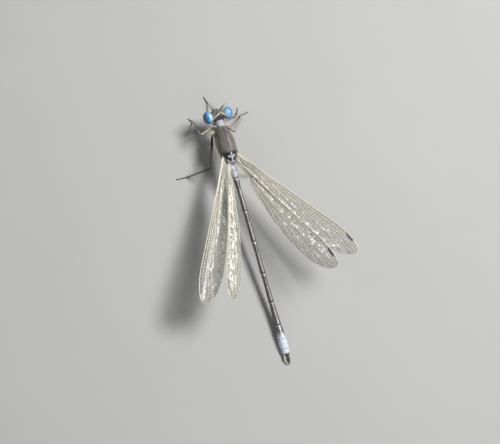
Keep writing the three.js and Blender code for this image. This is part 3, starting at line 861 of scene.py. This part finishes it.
def eye_finish(colours):
    """Facetted eye of sky blue, painted navy at the outer underside as painted shade and pale cyan towards
    the top and middle as a painted highlight, with a dark spot.
    """
    finish = Finish("damselfly_eye", Coat_Weight=0.6, Coat_Roughness=0.06, Specular_IOR_Level=0.6)
    clouds = finish.scaled(finish.noise(0.22, detail=3.0), 0.14, -0.07)
    colour = finish.ramp(
        finish.scaled(finish.attribute("painted_eye_light"), 1.0, clouds),
        (0.3, colours.eye_dark),
        (0.55, blended(colours.eye_dark, 0.45, colours.eye_blue, 0.35)),
        (0.76, colours.eye_blue),
        (0.92, blended(colours.eye_blue, 0.45, colours.eye_highlight, 0.45)),
        (1.0, colours.eye_highlight),
    )
    colour = finish.mix(finish.scaled(finish.attribute("spot"), 0.97), colour, colours.eye_dark)
    facets = finish.cells(0.045)
    finish.colour(finish.mix(0.5, colour, finish.ramp(facets, (0.15, 1.1), (0.6, 0.75)), "MULTIPLY"))
    finish.roughness(facets, 0.15, 0.16)
    finish.bump(facets, -0.01, 0.5)
    return finish.material


class DAMSELFLY_OT_eyes(bpy.types.Operator):
    """The two facetted eyes"""

    bl_idname = "damselfly.eyes"
    bl_label = "Eyes"

    def execute(self, context):
        material = eye_finish(context.scene.damselfly_colours)
        spot_way = np.array([math.sin(VIEW_ROLL), 0.05, math.cos(VIEW_ROLL)])
        spot_way /= np.linalg.norm(spot_way)
        for name, side in SIDES.items():
            shape = Shape()
            centre = (side * EYE_CENTRE[0], *EYE_CENTRE[1:])
            facing = egg(shape, centre, EYE_REACH, 96, 64, turn=side * EYE_TURN)
            # The eye is painted darker at its outer underside and paler towards the top and middle, as
            # painted shade and painted highlight
            lit_way = np.array([-side * 0.5, 0, 0.87])
            angle = np.arccos(np.clip(facing @ spot_way, -1, 1))
            shape.values["painted_eye_light"] = list((facing @ lit_way + 1) / 2)
            shape.values["spot"] = list(near(angle, 0, 0.2))
            finish_piece(shape.build(f"eye_{name}_facets", [material], BODY), "eye", f"eye_{name}")
        return {"FINISHED"}


# Antennae and pincers


def horn_finish(name, root, tip, size):
    """Horn that changes from one tone at the root to another at the tip."""
    finish = Finish(name)
    grain = finish.noise(size, detail=5.0)
    share = finish.ramp(finish.attribute("share"), (0.2, 0.0), (0.95, 1.0))
    return finish.horn(finish.mix(share, root, tip), grain, 0.28)


class DAMSELFLY_OT_antennae(bpy.types.Operator):
    """The two short feelers with their bristle ends"""

    bl_idname = "damselfly.antennae"
    bl_label = "Antennae"

    def execute(self, context):
        colours = context.scene.damselfly_colours
        material = horn_finish("damselfly_antenna", colours.back, colours.line, 0.12)
        for name, side in SIDES.items():
            shape = Shape()
            across, behind, above = ANTENNA_ROOT
            root = np.array([side * across, HEAD_PLACE + behind, HEAD_RISE + above])
            lean = np.array(ANTENNA_LEAN) * (side, 1, 1)
            lean /= np.linalg.norm(lean)
            bend = np.array([side * 0.05, 0, 0])
            path = [root + lean * reach + bend * reach * reach for reach in ANTENNA_WIDTHS]
            tube(shape, path, list(ANTENNA_WIDTHS.values()), sides=14)
            piece = shape.build(f"antenna_{name}_segments", [material], BODY)
            finish_piece(piece, "antenna", f"antenna_{name}")
        return {"FINISHED"}


def pincer_point(side, u):
    """Middle of a pincer at a share of its length."""
    across = CERCUS["apart"] + CERCUS["bow"] * math.sin(math.pi * u) - CERCUS["inward"] * u
    return np.array([side * across, CERCUS["start"] + CERCUS["reach"] * u, ABDOMEN_RISE + 0.22 - 0.1 * u])


class DAMSELFLY_OT_pincers(bpy.types.Operator):
    """The curved pincers at the tail's end, with two teeth inside each"""

    bl_idname = "damselfly.pincers"
    bl_label = "Pincers"

    def execute(self, context):
        colours = context.scene.damselfly_colours
        material = horn_finish("damselfly_pincer", colours.pincer, times(colours.pincer, 0.55), 0.15)
        for name, side in SIDES.items():
            shape = Shape()
            steps = np.linspace(0, 1, 24)
            radii = between(CERCUS["root"], CERCUS["tip"], steps**1.6)
            tube(shape, [pincer_point(side, u) for u in steps], radii, sides=16)
            inward = np.array([-side, 0.25, 0])
            for u in PINCER_TEETH:
                tooth = [pincer_point(side, u) + inward * reach for reach in (0, 0.12, 0.17)]
                tube(shape, tooth, [0.08, 0.05, 0.02])
            for u in np.linspace(0.1, 0.95, 12):
                bristle(shape, pincer_point(side, u), (side, 0.5, 0.2), 0.22, HAIR_WIDTH)
            piece = shape.build(f"cercus_{name}_hook", [material], BODY)
            finish_piece(piece, "pincer", f"cercus_{name}")
        return {"FINISHED"}


# Wings


class Wing:
    """Places on one wing, from shares of its length and of its chord."""

    def __init__(self, kind, name):
        self.spec = WINGS[kind]
        self.length = self.spec["length"]
        back, rise, twist = map(math.radians, self.spec[name])
        outward = Vector((math.sin(back) * math.cos(rise), math.cos(back), math.sin(back) * math.sin(rise)))
        normal = Vector((-math.sin(rise), 0, math.cos(rise)))
        chord = normal.cross(outward) * math.cos(twist) + normal * math.sin(twist)
        mirror = np.array([SIDES[name], 1, 1])
        self.axes = [np.array(axis) * mirror for axis in (outward, chord, outward.cross(chord))]
        self.root = np.array(self.spec["root"]) * mirror

    def edges(self, u):
        """How far the front and the rear edge lie from the wing's line."""
        u = np.clip(np.asarray(u, float), 0, 1)
        stalk = WING["stalk"]
        chord, lead = self.spec["chord"], self.spec["lead"]
        past = np.clip((u - WING["widest"]) / (1 - WING["widest"]), 0, 1)
        tip = np.sqrt(1 - past ** WING["tip_ease"])
        bowed = np.minimum(1, u / WING["bow"]) ** WING["bow_ease"]
        opened = smooth_step(u, WING["stalk_end"], WING["widest"]) ** WING["open_ease"]
        forward = between(stalk, chord * lead, bowed) * tip
        backward = between(stalk, chord * (1 - lead), opened) * tip
        return -forward, backward

    def chord_at(self, u):
        front, rear = self.edges(u)
        return rear - front

    def height(self, u, share):
        """Pleats of the membrane, deep at the base and front and flat at the rear edge."""
        fade = smooth_step(u, 0.02, 0.15) * (1 - 0.6 * smooth_step(u, 0.3, 0.95))
        pleats = 0.09 * np.cos(share * 2 * math.pi * 2.5) * (1 - share) ** 0.8
        camber = 0.12 * np.sin(math.pi * share) * smooth_step(u, 0.1, 0.5)
        return fade * pleats + camber - 0.06

    def points(self, u, share, lift=0.0):
        u = np.asarray(u, float)
        share = np.asarray(share, float)
        ways = (u * self.length, between(*self.edges(u), share), self.height(u, share) + lift)
        return self.root + sum(np.multiply.outer(way, axis) for way, axis in zip(ways, self.axes))


def tipward(start, many, few):
    """Steps along a wing from its root, finer at the tip."""
    return np.concatenate([np.linspace(start, 0.96, many), np.linspace(0.965, WING["end"], few)])


def add_membrane(shape, wing):
    """A thin closed film."""
    steps = tipward(-0.03, 150, 14)
    shares = np.linspace(0, 1, 45)
    u, share = grid(steps, shares)
    faces = sheet_faces(len(steps), len(shares))
    order = np.arange(len(u)).reshape(len(steps), len(shares))
    rim = np.concatenate([order[:, 0], order[-1, 1:], order[-2::-1, -1], order[0, -2:0:-1]]).tolist()
    for a, b in zip(rim, rim[1:] + rim[:1]):
        faces.append((a, len(u) + a, len(u) + b, b))
    points = np.vstack([wing.points(u, share, lift) for lift in (FILM, -FILM)])
    # Bands of panes painted white as glints, away from the root and the tip
    glint_bands = sum(near(share, middle, width) for middle, width in wing.spec["glitter"])
    painted_glint_share = glint_bands * within(u, 0.12, 0.22, 0.86, 0.97)
    shape.add(points, faces, share=np.tile(u, 2), across=np.tile(share, 2), glitter=np.tile(painted_glint_share, 2))


def add_vein(shape, wing, u, share, width, sides=6):
    tube(shape, wing.points(u, share), width, sides=sides, slot=1)


def add_veins(shape, wing, sizes):
    rng = np.random.default_rng(SEED)
    fine, main, edge = (value / MM for value in (sizes.vein, sizes.main_vein, sizes.edge_vein))
    lines = {name: eased(rows, VEIN_POINTS) for name, rows in LONG_VEINS.items()}
    for name, rows in lines.items():
        u, share = rows.T
        taper = 1 - 0.45 * smooth_step(u, 0.3, 1.0)
        add_vein(shape, wing, u, np.clip(share, 0, 1), main * VEIN_SWELL.get(name, 1.0) * taper)
    u = tipward(-0.02, 110, 16)
    for share, width in ((0.0, edge), (1.0, main * 0.8)):
        add_vein(shape, wing, u, np.full_like(u, share), width * (1 - 0.3 * u))
    add_vein(shape, wing, np.full(20, WING["end"]), np.linspace(0, 1, 20), main)
    # Fine walls between each long vein and the next one behind it
    lines["front_edge"] = np.column_stack([np.linspace(0, CELLS_END, VEIN_POINTS), np.zeros(VEIN_POINTS)])
    cell = CELL_LENGTH / wing.length
    for name, rows in lines.items():
        u = rows[0, 0] + rng.uniform(0.2, 0.6) * cell
        while u < min(rows[-1, 0], CELLS_LAST):
            step = cell * rng.uniform(0.85, 1.2)
            share = np.interp(u, rows[:, 0], rows[:, 1])
            behind = [
                np.interp(u, other[:, 0], other[:, 1])
                for key, other in lines.items()
                if key != name and other[0, 0] <= u <= other[-1, 0]
            ]
            following = min([value for value in behind if value > share + 0.004] + [1.0])
            if (following - share) * wing.chord_at(u) > 0.1:
                add_walls(shape, wing, rng, u, step, share, following, fine)
            u += step


def add_walls(shape, wing, rng, u, step, share, following, width):
    """Walls of the cells that lie between two long veins at one place along the wing."""
    rows = max(1, round((following - share) * wing.chord_at(u) / CELL_WIDTH))
    levels = share + (following - share) * np.arange(rows + 1) / rows
    for k in range(rows):
        start = u + (k % 2) * step / 2
        if start <= CELLS_END:
            lean = rng.normal(0, 0.08) * step
            add_vein(shape, wing, [start - lean, start + lean], levels[k : k + 2], width, sides=4)
    for level in levels[1:-1]:
        reach = min(u + step * 1.02, CELLS_END)
        add_vein(shape, wing, [u, reach], [level, level], width * 1.1, sides=4)


def add_stigma(shape, wing):
    """The dark thickened cell at the front edge near the tip."""
    steps = np.linspace(*WING["stigma"], 16)
    shares = np.linspace(0, 1, 6)
    u, share = grid(steps, shares)
    radius = eased(LONG_VEINS["radius"], VEIN_POINTS)
    chord = np.interp(u, radius[:, 0], radius[:, 1]) * share
    swell = 0.02 + 0.02 * np.sin(math.pi * share)
    points = np.vstack([wing.points(u + (share - 0.5) * 0.012, chord, lift) for lift in (swell, -swell)])
    shape.add(points, sheet_faces(len(steps), len(shares)), 2)


def membrane_finish(colours):
    """Clear film with a yellowish tint, in which single panes of the net are painted white as glints and
    others violet as a painted reflection.
    """
    finish = Finish("damselfly_membrane", Specular_IOR_Level=0.8)
    clouds = finish.noise(1.2, detail=3.0)
    wrinkles = finish.noise(0.25)
    spread = finish.node("ShaderNodeCombineXYZ")
    finish.feed(spread.inputs["X"], finish.scaled(finish.attribute("share"), PANES_ALONG))
    finish.feed(spread.inputs["Y"], finish.scaled(finish.attribute("across"), PANES_ACROSS))
    panes = finish.node("ShaderNodeTexVoronoi", distance="CHEBYCHEV")
    finish.feed(panes.inputs["Vector"], spread.outputs["Vector"])
    panes.inputs["Scale"].default_value = 1
    panes.inputs["Randomness"].default_value = 0.5
    drawn = finish.node("ShaderNodeSeparateColor")
    finish.feed(drawn.inputs["Color"], panes.outputs["Color"])
    # Panes picked in the glint bands are painted near white as glints and made less clear
    chance = finish.scaled(finish.attribute("glitter"), 0.8, drawn.outputs["Red"])
    lit = finish.ramp(finish.scaled(chance, 0.55), (0.48, 0.0), (0.62, 0.6), (0.8, 1.0))
    lit = finish.mix(finish.ramp(panes.outputs["Distance"], (0.3, 0.0), (0.5, 0.7)), lit, (0, 0, 0))
    tint = finish.mix(clouds, colours.membrane, times(colours.membrane, 0.75, 0.1))
    # Some panes are tinted grey violet as a painted reflection
    violet_reflection = finish.ramp(drawn.outputs["Green"], (0.5, 0.0), (0.9, 0.5))
    tint = finish.mix(violet_reflection, tint, (0.3, 0.26, 0.38))
    finish.colour(finish.mix(lit, tint, (0.92, 0.93, 0.96)))
    finish.roughness(wrinkles, 0.25, 0.1)
    veil = finish.ramp(finish.attribute("share"), (0.0, 0.34), (0.25, 0.3), (1.0, 0.24))
    veil = finish.scaled(clouds, 0.12, veil)
    finish.feed(finish.shader.inputs["Alpha"], finish.scaled(lit, 0.8, veil))
    finish.bump(wrinkles, 0.03, 0.6)
    return finish.material


def vein_finish(colours):
    """Cream veins with browner stretches, with near-white spots painted on as glints."""
    finish = Finish("damselfly_vein", Specular_IOR_Level=0.7)
    clouds = finish.noise(0.55)
    vein_glints = finish.noise(0.16, detail=2.0)
    colour = finish.mix(finish.ramp(clouds, (0.3, 0.0), (0.48, 1.0)), times(colours.vein, 0.5), colours.vein)
    # Near-white spots painted on the veins as glints
    finish.colour(finish.mix(finish.ramp(vein_glints, (0.52, 0.0), (0.64, 0.9)), colour, (0.93, 0.9, 0.82)))
    finish.roughness(clouds, 0.25, 0.2)
    finish.bump(finish.noise(0.08), 0.01, 0.5)
    return finish.material


def stigma_finish(colours):
    finish = Finish("damselfly_wing_mark", Specular_IOR_Level=0.6)
    grain = finish.noise(0.15, detail=5.0)
    finish.colour(finish.mix(grain, colours.stigma, times(colours.stigma, 2.2)))
    finish.roughness(grain, 0.3, 0.25)
    finish.bump(grain, 0.015, 0.6)
    return finish.material


class DAMSELFLY_OT_wings(bpy.types.Operator):
    """The four clear wings with their net of veins"""

    bl_idname = "damselfly.wings"
    bl_label = "Wings"

    def execute(self, context):
        colours = context.scene.damselfly_colours
        materials = [membrane_finish(colours), vein_finish(colours), stigma_finish(colours)]
        for kind in WINGS:
            for name in SIDES:
                wing = Wing(kind, name)
                shape = Shape()
                add_membrane(shape, wing)
                add_veins(shape, wing, context.scene.damselfly_sizes)
                add_stigma(shape, wing)
                piece = shape.build(f"{kind}_{name}_sheet", materials, BODY)
                finish_piece(piece, "wing", f"{kind}_{name}")
        return {"FINISHED"}


# Legs


def leg_finish(colours):
    """Tan on the outer face and black within, with dark knees."""
    finish = Finish("damselfly_leg", Specular_IOR_Level=0.5)
    grain = finish.noise(0.12, detail=5.0)
    outer = finish.frayed("pale", grain, 0.4, 0.6, 0.3)
    return finish.horn(finish.mix(outer, colours.leg_dark, colours.leg_pale), grain, 0.3)


def add_limb(shape, facing, start, end, radii, tone, sides=14, bow=0.0):
    """Adds one tapering limb and gives back its middle line. Tone is how pale its outer face is."""
    steps = np.linspace(0, 1, LIMB_STEPS)
    path = [between(start, end, u) + np.array([0, 0, bow]) * math.sin(math.pi * u) for u in steps]
    widths = np.interp(steps, np.linspace(0, 1, len(radii)), radii)
    tube(shape, path, widths, sides=sides, facing=facing, tone=tone)
    return path


def add_claws(shape, toe, heading):
    sideways = np.cross(heading, (0, 0, 1))
    for turn in (-1, 1):
        claw = [
            toe - heading * 0.02,
            toe + heading * 0.03 + sideways * turn * 0.06 + np.array([0, 0, 0.03]),
            toe + heading * 0.06 + sideways * turn * 0.1 + np.array([0, 0, -0.02]),
        ]
        tube(shape, claw, [0.035, 0.025, 0.008], sides=6)


def add_bristles(shape, rng, start, end, facing, length):
    """Two rows of long bristles along a limb."""
    span = np.linalg.norm(end - start)
    along = (end - start) / span
    plane = np.cross(along, facing)
    plane /= np.linalg.norm(plane)
    for row in (-1, 1):
        for reach in np.arange(0.35, span - 0.15, BRISTLE_GAP):
            at = between(start, end, reach / span)
            lean = plane * row + along * rng.uniform(0.5, 0.9) - facing * 0.25 + rng.normal(0, 0.06, 3)
            lean /= np.linalg.norm(lean)
            size = length * rng.uniform(0.75, 1.1)
            if at[2] + lean[2] * size >= 0.02:
                bristle(shape, at + plane * row * 0.07, lean, size, BRISTLE_WIDTH)


def add_leg(shape, name, length):
    rng = np.random.default_rng(SEED + sorted(LEGS).index(name))
    *upper, ankle, toe = LEGS[name]
    root, trochanter, knee = map(np.array, upper)
    ankle = np.array([*ankle, ANKLE_HEIGHT])
    toe = np.array([*toe, TOE_HEIGHT])
    facing = np.array([SIDES[name.split("_")[1]] * 0.6, 0, 0.8])
    pale = 0.0 if name.startswith("hind") else 1.0
    add_limb(shape, facing, root, trochanter, [0.34, 0.33, 0.24], 0.8)
    add_limb(shape, facing, trochanter, between(trochanter, knee, 0.08), [0.17, 0.19, 0.16], 0.6)
    thigh_widths = [0.15, 0.185, 0.17, 0.14, 0.13, 0.14]
    thigh = add_limb(shape, facing, trochanter, knee, thigh_widths, 0.35 + 0.3 * pale, bow=0.08)
    cap = [between(knee, ankle, share) for share in (-0.01, 0.03)]
    add_limb(shape, facing, *cap, [0.12, 0.14, 0.1], 0.1)
    shin = add_limb(shape, facing, knee, ankle, [0.11, 0.1, 0.095, 0.09, 0.095], 0.4 + 0.6 * pale)
    first, second = (between(ankle, toe, share) * (1, 1, 0) + (0, 0, height) for share, height in FOOT_JOINTS)
    foot = (
        (ankle, first, [0.08, 0.07, 0.08]),
        (first, second, [0.065, 0.07, 0.075]),
        (second, toe, [0.06, 0.065, 0.07]),
    )
    for start, end, widths in foot:
        add_limb(shape, facing, start, end, widths, 0.1, sides=10)
    add_claws(shape, toe, (toe - second) / np.linalg.norm(toe - second))
    add_bristles(shape, rng, thigh[0], thigh[-1], facing, length * 0.45)
    add_bristles(shape, rng, shin[0], shin[-1], facing, length)
    shape.values["pale"] = list(smooth_step(shape.values["outer"], -0.1, 0.5) * shape.values.pop("tone"))


class DAMSELFLY_OT_legs(bpy.types.Operator):
    """The six legs with their claws and long bristles"""

    bl_idname = "damselfly.legs"
    bl_label = "Legs"

    def execute(self, context):
        material = leg_finish(context.scene.damselfly_colours)
        for name in LEGS:
            shape = Shape()
            add_leg(shape, name, context.scene.damselfly_sizes.bristle / MM)
            piece = shape.build(f"{name}_leg", [material], FLOOR)
            finish_piece(piece, "leg", f"{name}_femur", f"{name}_tibia", f"{name}_tarsus")
        return {"FINISHED"}


# Stage


def camera_axes():
    """Right, up and backward of the camera in the floor's frame."""
    along = Vector((0, 1, 0))
    over = Vector((-math.cos(VIEW_ROLL), 0, math.sin(VIEW_ROLL)))
    right = along * math.sin(TAIL_TURN) + over * math.cos(TAIL_TURN)
    up = along * -math.cos(TAIL_TURN) + over * math.sin(TAIL_TURN)
    back = Vector((math.sin(VIEW_ROLL), 0, math.cos(VIEW_ROLL)))
    turn = BODY.to_3x3().normalized()
    return [turn @ axis for axis in (right, up, back)]


def add_camera(scene, axes, target):
    lens = bpy.data.cameras.new("view")
    lens.sensor_width = SENSOR
    lens.lens = SENSOR * VIEW_DISTANCE / VIEW_WIDTH
    lens.clip_start = 0.01
    camera = bpy.data.objects.new("view", lens)
    turn = Matrix(axes).transposed().to_4x4()
    camera.matrix_world = Matrix.Translation(target + axes[2] * VIEW_DISTANCE * MM) @ turn
    scene.collection.objects.link(camera)
    scene.camera = camera


def add_lamps(scene, axes, target):
    for name, (shares, reach, size, power) in LAMPS.items():
        light = bpy.data.lights.new(name, "AREA")
        light.size = size
        light.energy = power
        lamp = bpy.data.objects.new(name, light)
        way = sum((axis * share for axis, share in zip(axes, shares)), Vector()).normalized()
        lamp.rotation_mode = "QUATERNION"
        lamp.rotation_quaternion = way.to_track_quat("Z", "Y")
        lamp.location = target + way * reach
        scene.collection.objects.link(lamp)
    world = bpy.data.worlds.new("studio")
    world.use_nodes = True
    sky = world.node_tree.nodes["Background"]
    sky.inputs["Color"].default_value = (*SKY, 1)
    sky.inputs["Strength"].default_value = SKY_STRENGTH
    scene.world = world


def add_floor(scene):
    mesh = bpy.data.meshes.new("floor")
    corners = [(x * FLOOR_HALF, y * FLOOR_HALF, 0) for x, y in ((-1, -1), (1, -1), (1, 1), (-1, 1))]
    mesh.from_pydata(corners, [], [(0, 1, 2, 3)])
    floor = bpy.data.objects.new("floor", mesh)
    finish = Finish("stage_floor")
    shade = scene.damselfly_colours.floor
    finish.colour(finish.mix(finish.noise(20.0), shade, times(shade, 0.94)))
    finish.roughness(finish.noise(8.0), 0.1, 0.75)
    mesh.materials.append(finish.material)
    scene.collection.objects.link(floor)


class DAMSELFLY_OT_stage(bpy.types.Operator):
    """Plain floor, soft light and the camera"""

    bl_idname = "damselfly.stage"
    bl_label = "Stage"

    def execute(self, context):
        scene = context.scene
        axes = camera_axes()
        target = BODY @ Vector(VIEW_TARGET)
        scene.view_settings.view_transform = "Standard"
        add_camera(scene, axes, target)
        add_lamps(scene, axes, target)
        add_floor(scene)
        return {"FINISHED"}


# Panel and registration


class DAMSELFLY_PT_panel(bpy.types.Panel):
    """Lists the pieces of the damselfly with their sizes and colours"""

    bl_idname = "DAMSELFLY_PT_panel"
    bl_label = "Spreadwing damselfly"
    bl_space_type = "VIEW_3D"
    bl_region_type = "UI"
    bl_category = "Damselfly"

    def draw(self, context):
        layout = self.layout
        for operator in OPERATORS:
            layout.operator(operator.bl_idname)
        for group in (context.scene.damselfly_sizes, context.scene.damselfly_colours):
            column = layout.column(align=True)
            for name in group.bl_rna.properties.keys():
                if name not in ("rna_type", "name"):
                    column.prop(group, name)


OPERATORS = (
    DAMSELFLY_OT_stage,
    DAMSELFLY_OT_body_skin,
    DAMSELFLY_OT_eyes,
    DAMSELFLY_OT_antennae,
    DAMSELFLY_OT_wings,
    DAMSELFLY_OT_legs,
    DAMSELFLY_OT_pincers,
)
CLASSES = (DamselflyColours, DamselflySizes, *OPERATORS, DAMSELFLY_PT_panel)


def register():
    for kind in CLASSES:
        bpy.utils.register_class(kind)
    bpy.types.Scene.damselfly_colours = bpy.props.PointerProperty(type=DamselflyColours)
    bpy.types.Scene.damselfly_sizes = bpy.props.PointerProperty(type=DamselflySizes)


def unregister():
    del bpy.types.Scene.damselfly_sizes
    del bpy.types.Scene.damselfly_colours
    for kind in reversed(CLASSES):
        bpy.utils.unregister_class(kind)


def main():
    register()
    for operator in OPERATORS:
        group, name = operator.bl_idname.split(".")
        getattr(getattr(bpy.ops, group), name)()
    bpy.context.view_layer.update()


if __name__ == "__main__":
    main()
